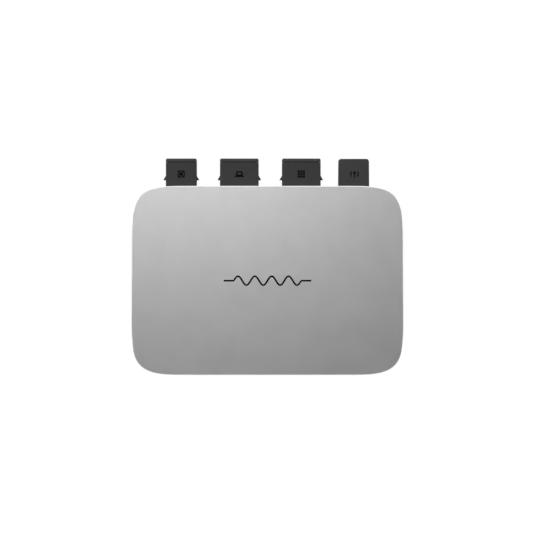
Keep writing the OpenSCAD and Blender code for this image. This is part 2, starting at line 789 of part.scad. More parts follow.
module surge_varistors() color("royalblue") for (v = varistors_at)
    translate([v[0] - 2, v[1], board_face + 6.3]) rotate([0, 90, 0]) cylinder(r = 6, h = 4);

module fuses() color("linen") for (f = fuses_at)
    translate([f[0] - 10, f[1], board_face + 5]) rotate([0, 90, 0]) cylinder(r = 2.6, h = 20);

// Spring clips that hold the ends of each fuse
module fuse_clips() color("lightgray") for (f = fuses_at) for (s = [-1, 1])
    translate([f[0] + s * 8 - 2.5, f[1], board_face]) difference() {
        translate([0, -3.6, 0]) cube([5, 7.2, 7]);
        translate([-over, 0, 5]) rotate([0, 90, 0]) cylinder(r = 2.6 + snug, h = 7);
        translate([-over, -1.8, 5]) cube([7, 3.6, 5]);
    }

// ---- Relays that cut the inverter off from the grid -------------------------------------------

module at_relay(k) translate([relays_at[k][0], relays_at[k][1], board_face]) children();

module relay_bases() color("#25282b") for (k = [0, 1]) at_relay(k)
    box_on([0, 0], [relay[0], relay[1], relay_base_h], 0);

// Coil on its core, with the bent yoke that carries the armature's hinge
module relay_coils() color("sienna") for (k = [0, 1]) at_relay(k) {
    box_on([-2.5, 0], [10, 9, 1], relay_base_h);
    box_on([-7, 0], [1, 9, relay_hinge[1] - 0.1 - relay_base_h], relay_base_h);
    translate([1, 0, relay_base_h + 1 - small]) cylinder(r = 5.2, h = 0.8);
    translate([1, 0, relay_base_h + 1.7]) cylinder(r = 4.6, h = 4.6);
    translate([1, 0, relay_base_h + 6.2]) cylinder(r = 5.2, h = 0.8);
    translate([1, 0, relay_base_h]) cylinder(r = 1.8, h = 7.6);
}

module relay_contacts() color("silver") for (k = [0, 1]) at_relay(k) {
    box_on([7.3, 0], [1.6, 3, 6.6], relay_base_h);
    translate([7.3, 0, 8.6 - small]) cylinder(r = 0.75, h = 0.6);
}

// Hinged plate over the coil, with a sprung finger and its contact at the free end
module relay_armature(k) color("lightsteelblue") at_relay(k) {
    box_on([-0.75, 0], [12.5, 9, 1], relay_hinge[1]);
    translate([5.5 - small, -1.5, relay_hinge[1] + 0.4]) cube([2.7, 3, 0.4]);
    translate([7.3, 0, relay_hinge[1] - 0.2]) cylinder(r = 0.75, h = 0.7);
}

module relay_covers() color("#f2c14e", 0.6) for (k = [0, 1]) at_relay(k) difference() {
    box_on([0, 0], [relay[0], relay[1], relay[2] - relay_base_h], relay_base_h);
    box_on([0, 0], [relay[0] - 1.4, relay[1] - 1.4, relay[2] - relay_base_h - 0.8],
        relay_base_h - small);
}

// ---- Control board, radio and earth -----------------------------------------------------------

module control_board() color("darkgreen") {
    box_on(control_at, [control[0], control[1], control_t], control_z);
    for (p = [[-10, -12], [6, -14], [-12, 4]])
        box_on(control_at + p, [8, 8, 1.4 + small], control_z + control_t - small);
    for (i = [0:7]) box_on(control_at + [-17 + 3 * i, -21], [1.6, 0.9, 0.7 + small],
        control_z + control_t - small);
}

module radio_module() color("lightgray")
    box_on(control_at + [8, 6], [18, 20, 3], control_z + control_t);

module board_header() color("black") for (s = [-1, 1])
    box_on(control_at + [s * 18, 0], [2.5, 30, control_z - board_face], board_face);

module status_led() color("white")
    box_on([light_x, board_top - 1], [3, 3.4, socket_z + 1.5 - board_face], board_face);

// Ring terminal and green wire from the board to the housing
earth_route = [
    [4, 0, 1.4], [7, 0, 1.4], [10.5, 1.5, 3.2], [12, 5, 5.4], [12, 10, 5.8],
    [12, 13.5, 3.2], [12, 13.5, 1.6], [12, 13.5, 0]
];

module earth_lead() color("limegreen") {
    difference() {
        disc(earth_at, 3.6, board_face, board_face + 0.8);
        disc(earth_at, m3_r + slip, board_face - over, board_face + 2);
    }
    translate([earth_at[0] + 3, earth_at[1] - 1.3, board_face]) cube([3, 2.6, 2.6]);
    translate([earth_at[0], earth_at[1], board_face])
        tube(smooth(earth_route, 4), 0.9, [1, -1, 0]);
}

module earth_screw() color("gray")
    translate([earth_at[0], earth_at[1], board_face + 0.8]) rotate([180, 0, 0])
        screw(5, head_h = 1.8);

// ---- Nodes ----------------------------------------------------------------------------------

stand() front_cover();
stand() main_housing();
stand() perimeter_seal();
stand() housing_screws();
stand() front_mark();
stand() insulation_sheet();
stand() rating_label();
stand() vent_cap();
stand() vent_membrane();
stand() vent_seal();
stand() status_light_pipe();
stand() socket_shell(0);  // grid_socket_shell
stand() contact_carrier(0);  // grid_contact_carrier
stand() socket_contacts(0);  // grid_contacts
stand() socket_seal(0);  // grid_socket_seal
stand() dust_cap(0);  // grid_dust_cap
stand() socket_shell(1);  // battery_socket_shell
stand() contact_carrier(1);  // battery_contact_carrier
stand() socket_contacts(1);  // battery_contacts
stand() socket_seal(1);  // battery_socket_seal
stand() dust_cap(1);  // battery_dust_cap
stand() socket_shell(2);  // solar_socket_shell
stand() contact_carrier(2);  // solar_contact_carrier
stand() socket_contacts(2);  // solar_contacts
stand() socket_seal(2);  // solar_socket_seal
stand() dust_cap(2);  // solar_dust_cap
stand() socket_screws();
stand() socket_inserts();
stand() antenna_cover();
stand() socket_seal(3);  // antenna_seal
stand() antenna_foot();
stand() antenna_board();
stand() antenna_coax();
stand() main_board();
stand() board_screws();
stand() power_transistors();
stand() thermal_pads();
stand() potting_layer();
stand() transformer_cores();
stand() transformer_windings();
stand() filter_choke_cores();
stand() filter_choke_windings();
stand() boost_inductors();
stand() bulk_capacitors();
stand() film_capacitors();
stand() surge_varistors();
stand() fuses();
stand() fuse_clips();
stand() relay_bases();
stand() relay_coils();
stand() relay_contacts();
stand() relay_armature(0);  // line_relay_armature
stand() relay_armature(1);  // neutral_relay_armature
stand() relay_covers();
stand() control_board();
stand() radio_module();
stand() board_header();
stand() status_led();
stand() earth_lead();
stand() earth_screw();
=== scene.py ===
import math

import bmesh
import bpy
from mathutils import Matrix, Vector


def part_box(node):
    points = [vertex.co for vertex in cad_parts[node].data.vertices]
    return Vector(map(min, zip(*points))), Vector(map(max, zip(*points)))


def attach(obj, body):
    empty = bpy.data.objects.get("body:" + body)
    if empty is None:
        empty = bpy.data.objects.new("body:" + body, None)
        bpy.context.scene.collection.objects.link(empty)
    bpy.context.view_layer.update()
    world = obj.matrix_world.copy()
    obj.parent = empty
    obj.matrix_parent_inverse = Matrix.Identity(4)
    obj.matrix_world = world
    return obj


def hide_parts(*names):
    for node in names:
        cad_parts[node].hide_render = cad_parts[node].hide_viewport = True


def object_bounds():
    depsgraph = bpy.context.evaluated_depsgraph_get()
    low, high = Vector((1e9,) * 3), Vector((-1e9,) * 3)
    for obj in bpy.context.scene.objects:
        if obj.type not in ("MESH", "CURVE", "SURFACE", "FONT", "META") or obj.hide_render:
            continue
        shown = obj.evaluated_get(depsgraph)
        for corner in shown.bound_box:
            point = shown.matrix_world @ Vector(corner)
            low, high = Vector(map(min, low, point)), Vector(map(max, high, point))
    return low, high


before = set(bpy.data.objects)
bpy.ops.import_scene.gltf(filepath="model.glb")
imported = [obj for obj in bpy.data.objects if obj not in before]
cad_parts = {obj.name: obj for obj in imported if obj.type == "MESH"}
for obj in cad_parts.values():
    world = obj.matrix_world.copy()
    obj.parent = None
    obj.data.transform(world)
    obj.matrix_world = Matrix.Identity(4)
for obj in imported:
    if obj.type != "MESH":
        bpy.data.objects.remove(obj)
cad_low, cad_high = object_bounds()

scene = bpy.context.scene
MM = 0.001


# ---- Studio ---------------------------------------------------------------------------------
# The inverter stands on a pale floor in front of a white surround, and is seen straight from
# the front through a long lens. The main soft box hangs in front, a little left and above, with
# weaker ones at both sides and behind.

view_width = 476.0 * MM
camera_distance = 2.6
camera_drop = 0.57 * MM
sensor_width = 36
middle = (cad_low + cad_high) / 2
front_y = cad_low.y

camera = bpy.data.objects.new("camera", bpy.data.cameras.new("camera"))
scene.collection.objects.link(camera)
camera.location = (middle.x, front_y - camera_distance, middle.z - camera_drop)
camera.rotation_euler = (math.radians(90), 0, 0)
camera.data.sensor_width = sensor_width
camera.data.lens = sensor_width * camera_distance / view_width
camera.data.clip_end = 20
scene.camera = camera
scene.view_settings.view_transform = "Standard"


def new_material(name):
    """An empty node material, with its tree, its output and its shader."""
    material = bpy.data.materials.new(name)
    material.use_nodes = True
    tree = material.node_tree
    return material, tree, tree.nodes["Material Output"], tree.nodes["Principled BSDF"]


def computed(tree, operation, *values):
    """Result of a math node. Each value is a number, or the output of another node."""
    node = tree.nodes.new("ShaderNodeMath")
    node.operation = operation
    for socket, value in zip(node.inputs, values):
        if isinstance(value, (int, float)):
            socket.default_value = value
        else:
            tree.links.new(value, socket)
    return node.outputs[0]


def ramped(tree, value, start, end, first, last):
    """Value's way from start to end, turned into a way from first to last."""
    node = tree.nodes.new("ShaderNodeMapRange")
    for key, number in (
        ("From Min", start), ("From Max", end), ("To Min", first), ("To Max", last),
    ):
        node.inputs[key].default_value = number
    tree.links.new(value, node.inputs["Value"])
    return node.outputs["Result"]


def blended(tree, share, first, second):
    """Shader that goes from first to second as share goes from 0 to 1."""
    node = tree.nodes.new("ShaderNodeMixShader")
    for socket, value in zip(node.inputs, (share, first, second)):
        tree.links.new(value, socket)
    return node.outputs[0]


def floor_material():
    """White to the camera, and mirrored white under the case and pale where seen steeply."""
    case_half = middle.y - front_y
    fade = 3 * MM
    grazing, steep, steep_tone = 0.74, 0.48, 0.45
    material, tree, output, shader = new_material("pale_floor")
    shader.inputs["Base Color"].default_value = (0.05, 0.05, 0.05, 1)
    shader.inputs["Roughness"].default_value = 0.9
    shader.inputs["Specular IOR Level"].default_value = 0.1
    glow = tree.nodes.new("ShaderNodeEmission")
    glow.inputs["Color"].default_value = (1, 1, 1, 1)
    glow.inputs["Strength"].default_value = 0.985
    both = tree.nodes.new("ShaderNodeAddShader")
    tree.links.new(shader.outputs[0], both.inputs[0])
    tree.links.new(glow.outputs[0], both.inputs[1])

    path = tree.nodes.new("ShaderNodeLightPath")
    place = tree.nodes.new("ShaderNodeTexCoord")
    axes = tree.nodes.new("ShaderNodeSeparateXYZ")
    slant = tree.nodes.new("ShaderNodeLayerWeight")
    slant.inputs["Blend"].default_value = 0.5
    tree.links.new(place.outputs["Object"], axes.inputs[0])
    away = computed(tree, "ABSOLUTE", computed(tree, "SUBTRACT", axes.outputs["Y"], middle.y))
    near = ramped(tree, away, case_half, case_half + fade, 1, 0)
    sloping = ramped(tree, slant.outputs["Facing"], grazing, steep, 0, steep_tone)
    tone = computed(tree, "MAXIMUM", near, sloping)
    mirrored = computed(tree, "MULTIPLY", path.outputs["Is Glossy Ray"], tone)
    shown = computed(tree, "MAXIMUM", path.outputs["Is Camera Ray"], mirrored)
    surface = blended(tree, shown, shader.outputs[0], both.outputs[0])
    tree.links.new(surface, output.inputs["Surface"])
    return material


floor_half = 6
floor_mesh = bpy.data.meshes.new("floor")
floor_mesh.from_pydata(
    [
        (x * floor_half, y * floor_half, cad_low.z)
        for x, y in ((-1, -1), (1, -1), (1, 1), (-1, 1))
    ],
    [], [(0, 1, 2, 3)],
)
floor_mesh.materials.append(floor_material())
floor_object = bpy.data.objects.new("floor", floor_mesh)
scene.collection.objects.link(floor_object)


def light_surround(world):
    """Screens with a tone for each share of the way to the back. The camera sees plain white."""
    tones = ((0.04, 0.02), (0.12, 0.35), (0.33, 0.35), (0.41, 1.15), (0.59, 1.15), (0.67, 0.35))
    world.use_nodes = True
    tree = world.node_tree
    surround = tree.nodes["Background"]
    direction = tree.nodes.new("ShaderNodeTexCoord")
    axes = tree.nodes.new("ShaderNodeSeparateXYZ")
    screens = tree.nodes.new("ShaderNodeValToRGB")
    stops = screens.color_ramp.elements
    while len(stops) < len(tones):
        stops.new(0.5)
    for stop, (place, tone) in zip(stops, tones):
        stop.position = place
        stop.color = (tone, tone, tone, 1)
    tree.links.new(direction.outputs["Generated"], axes.inputs[0])
    depth = computed(tree, "MULTIPLY_ADD", axes.outputs["Y"], 0.5, 0.5)
    tree.links.new(depth, screens.inputs[0])
    tree.links.new(screens.outputs[0], surround.inputs["Color"])
    white = tree.nodes.new("ShaderNodeBackground")
    white.inputs["Color"].default_value = (1, 1, 1, 1)
    path = tree.nodes.new("ShaderNodeLightPath")
    seen = blended(tree, path.outputs["Is Camera Ray"], surround.outputs[0], white.outputs[0])
    tree.links.new(seen, tree.nodes["World Output"].inputs["Surface"])


scene.world = bpy.data.worlds.new("surround")
light_surround(scene.world)


def soft_box(name, place, size, watts):
    """A square lamp at place that faces the middle of the inverter, out of the camera's sight."""
    lamp = bpy.data.lights.new(name, "AREA")
    lamp.size = size
    lamp.energy = watts
    holder = bpy.data.objects.new(name, lamp)
    holder.visible_camera = False
    scene.collection.objects.link(holder)
    holder.location = place
    holder.rotation_euler = (middle - Vector(place)).to_track_quat("-Z", "Y").to_euler()


soft_box("key_light", (-0.13, -1.20, 0.39), 0.5, 3.15)
soft_box("left_light", (-1.35, -0.75, 0.5), 0.8, 6)
soft_box("right_light", (1.35, -0.75, 0.4), 0.8, 5)
soft_box("back_light", (0.3, 1.3, 0.5), 0.6, 6)
soft_box("low_back_light", (-1.1, 1.1, 0.2), 0.8, 4)


# ---- Case: front cover and housing ----------------------------------------------------------
# Both are die cast in aluminium, bead blasted and anodised clear. The cover closes the housing
# with a band of its own depth, and its front edge is cut back to a bright chamfer.

def grain_group():
    """Fine even grain, as blasting or a textured mould leaves it."""
    group = bpy.data.node_groups.new("Fine grain", "ShaderNodeTree")
    for name, kind, value in (
        ("Size", "NodeSocketFloat", 0.0006),
        ("Depth", "NodeSocketFloat", 0.3),
        ("Roughness", "NodeSocketFloat", 0.5),
        ("Roughness Spread", "NodeSocketFloat", 0.1),
        ("Colour", "NodeSocketColor", (0.5, 0.5, 0.5, 1)),
        ("Colour Spread", "NodeSocketFloat", 0.05),
    ):
        socket = group.interface.new_socket(name, in_out="INPUT", socket_type=kind)
        socket.default_value = value
    for name, kind in (
        ("Colour", "NodeSocketColor"),
        ("Roughness", "NodeSocketFloat"),
        ("Normal", "NodeSocketVector"),
    ):
        group.interface.new_socket(name, in_out="OUTPUT", socket_type=kind)
    nodes, links = group.nodes, group.links
    given = nodes.new("NodeGroupInput")
    out = nodes.new("NodeGroupOutput")
    place = nodes.new("ShaderNodeTexCoord")
    scale = computed(group, "DIVIDE", 1, given.outputs["Size"])

    def noise(times, detail):
        """Noise times finer than the grain's size, with detail further octaves."""
        node = nodes.new("ShaderNodeTexNoise")
        node.inputs["Detail"].default_value = detail
        links.new(computed(group, "MULTIPLY", scale, times), node.inputs["Scale"])
        links.new(place.outputs["Object"], node.inputs["Vector"])
        return node.outputs[0]

    fine = noise(1, 3)
    broad = noise(0.04, 2)  # 25 times as coarse
    bump = nodes.new("ShaderNodeBump")
    bump.inputs["Distance"].default_value = 0.1 * MM
    links.new(given.outputs["Depth"], bump.inputs["Strength"])
    links.new(fine, bump.inputs["Height"])
    links.new(bump.outputs[0], out.inputs["Normal"])

    def spread(source, amount):
        """A factor round 1, raised and lowered by source times amount."""
        centred = computed(group, "SUBTRACT", source, 0.5)
        return computed(group, "MULTIPLY_ADD", centred, given.outputs[amount], 1)

    mixed = computed(group, "ADD", computed(group, "ADD", fine, broad), -0.5)
    tint = nodes.new("ShaderNodeVectorMath")
    tint.operation = "SCALE"
    links.new(given.outputs["Colour"], tint.inputs[0])
    links.new(spread(mixed, "Colour Spread"), tint.inputs["Scale"])
    links.new(tint.outputs[0], out.inputs["Colour"])
    rough = computed(
        group, "MULTIPLY", given.outputs["Roughness"], spread(broad, "Roughness Spread")
    )
    links.new(rough, out.inputs["Roughness"])
    return group


fine_grain = grain_group()


def grained(name, colour, roughness, size=0.0006, depth=0.3, colour_spread=0.05,
            roughness_spread=0.15, metallic=0.0, **fixed):
    """A material with the grain on it. fixed sets other inputs of the shader."""
    material, tree, output, shader = new_material(name)
    grain = tree.nodes.new("ShaderNodeGroup")
    grain.node_tree = fine_grain
    grain.inputs["Size"].default_value = size
    grain.inputs["Depth"].default_value = depth
    grain.inputs["Colour"].default_value = (*colour, 1)
    grain.inputs["Colour Spread"].default_value = colour_spread
    grain.inputs["Roughness"].default_value = roughness
    grain.inputs["Roughness Spread"].default_value = roughness_spread
    tree.links.new(grain.outputs["Colour"], shader.inputs["Base Color"])
    tree.links.new(grain.outputs["Roughness"], shader.inputs["Roughness"])
    tree.links.new(grain.outputs["Normal"], shader.inputs["Normal"])
    shader.inputs["Metallic"].default_value = metallic
    for key, value in fixed.items():
        shader.inputs[key.replace("_", " ")].default_value = value
    return material


weld_gap = 0.002 * MM


def welded(mesh):
    """A mesh as an editable shape, with its points that lie together made one."""
    shape = bmesh.new()
    shape.from_mesh(mesh)
    bmesh.ops.remove_doubles(shape, verts=shape.verts, dist=weld_gap)
    return shape


def made_plain(piece):
    """Applies the piece's modifiers, so that its mesh is the finished shape."""
    graph = bpy.context.evaluated_depsgraph_get()
    mesh = bpy.data.meshes.new_from_object(piece.evaluated_get(graph))
    mesh.name = piece.name
    piece.modifiers.clear()
    piece.data = mesh
    return piece


def refined(node, name, radius, segments=2, sharp=25, flat=0.4):
    """A copy of a CAD node, with edges sharper than sharp rounded by radius, the rest smooth."""
    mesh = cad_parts[node].data.copy()
    piece = bpy.data.objects.new(name, mesh)
    scene.collection.objects.link(piece)
    mesh.materials.clear()
    if mesh.has_custom_normals:
        mesh.normals_split_custom_set([(0, 0, 0)] * len(mesh.loops))
        if "custom_normal" in mesh.attributes:
            mesh.attributes.remove(mesh.attributes["custom_normal"])
    shape = welded(mesh)
    bmesh.ops.dissolve_limit(
        shape, angle_limit=math.radians(flat), verts=shape.verts, edges=shape.edges
    )
    for face in shape.faces:
        face.smooth = True
    for edge in shape.edges:
        edge.smooth = not (
            len(edge.link_faces) == 2 and edge.calc_face_angle() > math.radians(sharp)
        )
    shape.to_mesh(mesh)
    shape.free()
    if radius:
        rounding = piece.modifiers.new("rounding", "BEVEL")
        rounding.width = radius
        rounding.segments = segments
        rounding.limit_method = "ANGLE"
        rounding.angle_limit = math.radians(sharp)
        rounding.harden_normals = True
        rounding.use_clamp_overlap = True
        rounding.miter_outer = "MITER_ARC"
        made_plain(piece)
    return piece


def placed(piece, body, slot, material, *nodes):
    """Gives the piece its material, fixes it to its body and lets it stand for nodes."""
    if material is not None:
        piece.data.materials.clear()
        piece.data.materials.append(material)
    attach(piece, body)
    if nodes:
        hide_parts(*nodes)
    return piece


def finished(node, name, radius, slot, material, body="case", **rounding):
    """Refined copy of a CAD node, on its body and in its material, that stands for it."""
    return placed(refined(node, name, radius, **rounding), body, slot, material, node)


anodised = grained(
    "blasted_anodised_aluminium", (0.62, 0.62, 0.625), 0.40, size=0.0007, depth=0.35,
    colour_spread=0.10, roughness_spread=0.12, metallic=1.0,
)
bright_cut = grained(
    "bright_cut_aluminium", (0.9, 0.9, 0.91), 0.16, size=0.002, depth=0.05,
    colour_spread=0.02, roughness_spread=0.2, metallic=1.0,
)

chamfer_depth = 0.65 * MM
faces_front, faces_side = -0.95, -0.3
cover = finished("front_cover", "front_cover_panel", 0.12 * MM, "anodised_case", anodised)
cover.data.materials.append(bright_cut)
for face in cover.data.polygons:
    if faces_front < face.normal.y < faces_side and face.center.y < front_y + chamfer_depth:
        face.material_index = 1

finished("main_housing", "finned_housing", 0.25 * MM, "die_cast", anodised)


# ---- Printed mark ---------------------------------------------------------------------------
# A thin film of black ink in the middle of the cover. A level line turns into four waves and
# back, for direct current that becomes alternating.

ink = grained(
    "black_ink", (0.003, 0.003, 0.003), 0.6, size=0.0004, depth=0.08, colour_spread=0.2,
    Specular_IOR_Level=0.05,
)
finished("front_mark", "wave_mark", 0, "black_print", ink)


# ---- Sealing and screws of the case -----------------------------------------------------------
# A silicone cord lies in the housing's rim. Ten socket-head screws go in from the rear, through
# the housing's columns and into blind bosses of the cover, so that none shows at the front.

black_seal = grained("black_silicone", (0.02, 0.02, 0.02), 0.6, size=0.001, depth=0.2)
finished("perimeter_seal", "rim_seal", 0, "black_seal", black_seal)


def islands(node):
    """Lowest and highest corner of each separate solid of a CAD node."""
    shape = welded(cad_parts[node].data)
    left = set(shape.verts)
    found = []
    while left:
        queue = [left.pop()]
        places = []
        while queue:
            point = queue.pop()
            places.append(point.co.copy())
            for edge in point.link_edges:
                other = edge.other_vert(point)
                if other in left:
                    left.remove(other)
                    queue.append(other)
        low = Vector([min(p[i] for p in places) for i in range(3)])
        high = Vector([max(p[i] for p in places) for i in range(3)])
        found.append((low, high))
    shape.free()
    return sorted(found, key=lambda box: tuple(box[0]))


def lathe(profile, steps):
    """Shape turned about Z from (radius, height) points; a first point with no radius closes it."""
    points, faces, rings = [], [], []
    for radius, height in profile:
        if radius == 0:
            rings.append([len(points)] * steps)
            points.append((0, 0, height))
            continue
        rings.append([len(points) + k for k in range(steps)])
        for k in range(steps):
            turn = math.tau * k / steps
            points.append((radius * math.cos(turn), radius * math.sin(turn), height))
    for lower, upper in zip(rings, rings[1:]):
        for k in range(steps):
            after = (k + 1) % steps
            faces.append(list(dict.fromkeys((lower[k], lower[after], upper[after], upper[k]))))
    return points, faces


def smoothed(mesh, sharp=32):
    """Turns the faces outwards and shades them smooth, but for edges sharper than sharp."""
    shape = bmesh.new()
    shape.from_mesh(mesh)
    bmesh.ops.recalc_face_normals(shape, faces=shape.faces)
    for face in shape.faces:
        face.smooth = True
    for edge in shape.edges:
        edge.smooth = edge.calc_face_angle(0) < math.radians(sharp)
    shape.to_mesh(mesh)
    shape.free()
    return mesh


def screw_mesh(name, shank_r, length, head_r, head_h, drive_r):
    """Threaded screw along -Z, with a rounded head above z = 0 and a six-sided drive."""
    steps, pitch, point_length, rim_drop = 36, 0.5 * MM, 0.4 * MM, 0.1 * MM
    threaded, drive_floor = length * 0.8, head_h * 0.4
    point_r, root_r, neck_r = shank_r * 0.7, shank_r * 0.86, shank_r * 0.92
    edge_r, crown_r, soft = head_r * 0.97, head_r * 0.88, 0.25 * head_h
    turns = int(threaded / pitch)
    tip = -length + point_length
    profile = [(0, -length), (point_r, -length)]
    for k in range(turns):
        profile.append((root_r, tip + pitch * k))
        profile.append((shank_r, tip + pitch * (k + 0.5)))
    profile += [
        (neck_r, tip + pitch * turns), (neck_r, 0), (edge_r, 0),
        (head_r, 0.06 * head_h), (head_r, head_h - soft), (edge_r, head_h - soft * 0.45),
        (crown_r, head_h), (drive_r * 1.18, head_h), (drive_r * 1.08, head_h - rim_drop),
    ]
    points, faces = lathe(profile, steps)
    rim = len(points) - steps
    for depth in (head_h - 1.2 * rim_drop, drive_floor):
        for k in range(steps):
            turn = math.tau * k / steps
            reach = drive_r * math.cos(math.pi / 6) / math.cos(turn % (math.pi / 3) - math.pi / 6)
            points.append((reach * math.cos(turn), reach * math.sin(turn), depth))
    for ring in (rim, rim + steps):
        for k in range(steps):
            after = (k + 1) % steps
            faces.append([ring + k, ring + after, ring + steps + after, ring + steps + k])
    faces.append([rim + 2 * steps + k for k in range(steps)])
    mesh = bpy.data.meshes.new(name)
    mesh.from_pydata(points, [], faces)
    return smoothed(mesh)


def repeated(name, unit, places, direction, material):
    """A copy of the mesh unit on each place, turned from +Z to direction, as one plain mesh."""
    tree = bpy.data.node_groups.new(name + " layout", "GeometryNodeTree")
    for socket, kind in (
        ("Geometry", "Geometry"), ("Unit", "Object"), ("Turn", "Rotation"),
        ("Material", "Material"),
    ):
        tree.interface.new_socket(socket, in_out="INPUT", socket_type="NodeSocket" + kind)
    tree.interface.new_socket("Geometry", in_out="OUTPUT", socket_type="NodeSocketGeometry")
    given = tree.nodes.new("NodeGroupInput")
    out = tree.nodes.new("NodeGroupOutput")
    info = tree.nodes.new("GeometryNodeObjectInfo")
    copies = tree.nodes.new("GeometryNodeInstanceOnPoints")
    solid = tree.nodes.new("GeometryNodeRealizeInstances")
    paint = tree.nodes.new("GeometryNodeSetMaterial")
    tree.links.new(given.outputs["Geometry"], copies.inputs["Points"])
    tree.links.new(given.outputs["Unit"], info.inputs["Object"])
    tree.links.new(info.outputs["Geometry"], copies.inputs["Instance"])
    tree.links.new(given.outputs["Turn"], copies.inputs["Rotation"])
    tree.links.new(copies.outputs["Instances"], solid.inputs["Geometry"])
    tree.links.new(solid.outputs["Geometry"], paint.inputs["Geometry"])
    tree.links.new(given.outputs["Material"], paint.inputs["Material"])
    tree.links.new(paint.outputs["Geometry"], out.inputs["Geometry"])

    pattern = bpy.data.objects.new(name + "_unit", unit)
    scene.collection.objects.link(pattern)
    points = bpy.data.meshes.new(name)
    points.from_pydata([tuple(p) for p in places], [], [])
    piece = bpy.data.objects.new(name, points)
    scene.collection.objects.link(piece)
    layout = piece.modifiers.new("layout", "NODES")
    layout.node_group = tree
    values = {
        "Unit": pattern,
        "Turn": Vector(direction).to_track_quat("Z", "Y").to_euler(),
        "Material": material,
    }
    for socket in tree.interface.items_tree:
        if socket.in_out == "INPUT" and socket.name in values:
            layout[socket.identifier] = values[socket.name]
    made_plain(piece)
    bpy.data.objects.remove(pattern)
    return piece


screw_steel = grained(
    "passivated_steel", (0.42, 0.42, 0.43), 0.34, size=0.0009, depth=0.12,
    colour_spread=0.15, roughness_spread=0.3, metallic=1.0,
)


def screws(node, name, direction, shank_r, head_r, head_h, drive_r):
    """Threaded screws in place of a node's plain ones, with their heads towards direction."""
    axis = max(range(3), key=lambda i: abs(direction[i]))
    towards = direction[axis]
    places = []
    for low, high in islands(node):
        seat = (low + high) / 2
        seat[axis] = (high if towards > 0 else low)[axis] - towards * head_h
        places.append(seat)
    length = (high - low)[axis] - head_h
    unit = screw_mesh(name + "_unit", shank_r, length, head_r, head_h, drive_r)
    piece = repeated(name, unit, places, direction, screw_steel)
    placed(piece, "case", "screw_steel", None, node)


screws("housing_screws", "case_screws", (0, 1, 0), 1.5 * MM, 2.75 * MM, 2.2 * MM, 1.3 * MM)


# ---- Insulation and rating label --------------------------------------------------------------
# A polyester sheet keeps the board away from the cover. The label, a silver film with a printed
# frame and ruled lines but nothing written on it, is stuck in a shallow recess at the rear.

insulation = grained("insulating_film", (0.72, 0.71, 0.66), 0.45, size=0.002, depth=0.1)
finished("insulation_sheet", "insulating_sheet", 0, "insulation", insulation)

label_low, label_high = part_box("rating_label")
label_film = grained(
    "silver_label_film", (0.5, 0.505, 0.51), 0.32, size=0.0015, depth=0.04, metallic=0.7,
)
finished("rating_label", "blank_rating_label", 0, "label_film", label_film)


def blocks_mesh(name, blocks):
    """One object of closed blocks, each given by its lowest and highest corner."""
    points, faces = [], []
    sides = [(0, 1, 3, 2), (4, 6, 7, 5), (0, 4, 5, 1), (2, 3, 7, 6), (0, 2, 6, 4), (1, 5, 7, 3)]
    for low, high in blocks:
        base = len(points)
        points += [
            (x, y, z) for x in (low[0], high[0]) for y in (low[1], high[1])
            for z in (low[2], high[2])
        ]
        faces += [[base + i for i in side] for side in sides]
    mesh = bpy.data.meshes.new(name)
    mesh.from_pydata(points, [], faces)
    piece = bpy.data.objects.new(name, smoothed(mesh))
    scene.collection.objects.link(piece)
    return piece


print_sunk = 0.01 * MM


def label_rules():
    """Frame and rules of the label, as a film of ink on it."""
    edge, line, film, rows, split_share = 1.6 * MM, 0.35 * MM, 0.02 * MM, 9, 0.45
    near, far = label_high.y - print_sunk, label_high.y + film
    left, right = label_low.x + edge, label_high.x - edge
    low, high = label_low.z + edge, label_high.z - edge
    split = left + (right - left) * split_share
    blocks = [((left, near, low), (left + line, far, high)),
              ((right - line, near, low), (right, far, high)),
              ((split, near, low), (split + line, far, low + (high - low) * (rows - 2) / rows))]
    for k in range(rows + 1):
        z = low + (high - low - line) * k / rows
        blocks.append(((left, near, z), (right, far, z + line)))
    return blocks_mesh("label_rules", blocks)


placed(label_rules(), "case", "black_print", ink)


# ---- Pressure vent ----------------------------------------------------------------------------
# A snap-in nylon cap in the bottom wall, with slots round a porous membrane that lets air out
# and keeps water in drops away from it.

dark_nylon = grained(
    "dark_glass_filled_nylon", (0.053, 0.053, 0.054), 0.5, size=0.0005, depth=0.28,
    colour_spread=0.25, roughness_spread=0.25, Specular_IOR_Level=0.22,
)
finished("vent_cap", "vent_cap_slotted", 0.15 * MM, "dark_nylon", dark_nylon)
membrane = grained("porous_membrane", (0.8, 0.8, 0.8), 0.9, size=0.0002, depth=0.4)
finished("vent_membrane", "vent_film", 0, "membrane", membrane)
finished("vent_seal", "vent_ring", 0.1 * MM, "black_seal", black_seal)


# ---- Status light -----------------------------------------------------------------------------
# A clear polycarbonate rod brings the light of a small LED on the board out between the battery
# and solar sockets.

clear_plastic = grained(
    "clear_polycarbonate", (0.93, 0.95, 0.95), 0.12, size=0.002, depth=0.03,
    colour_spread=0.02, Transmission_Weight=0.9, IOR=1.58,
)
finished("status_light_pipe", "light_rod", 0.2 * MM, "light_guide", clear_plastic)
white_plastic = grained("white_led_body", (0.8, 0.8, 0.76), 0.35, size=0.001, depth=0.05)
finished("status_led", "led_body", 0.2 * MM, "white_led", white_plastic)


# ---- Plug sockets -----------------------------------------------------------------------------
# Grid, battery and solar sockets are moulded in dark glass-filled nylon, each with an inner
# flange, a latch barb on both sides and a pictogram printed in black on its front.

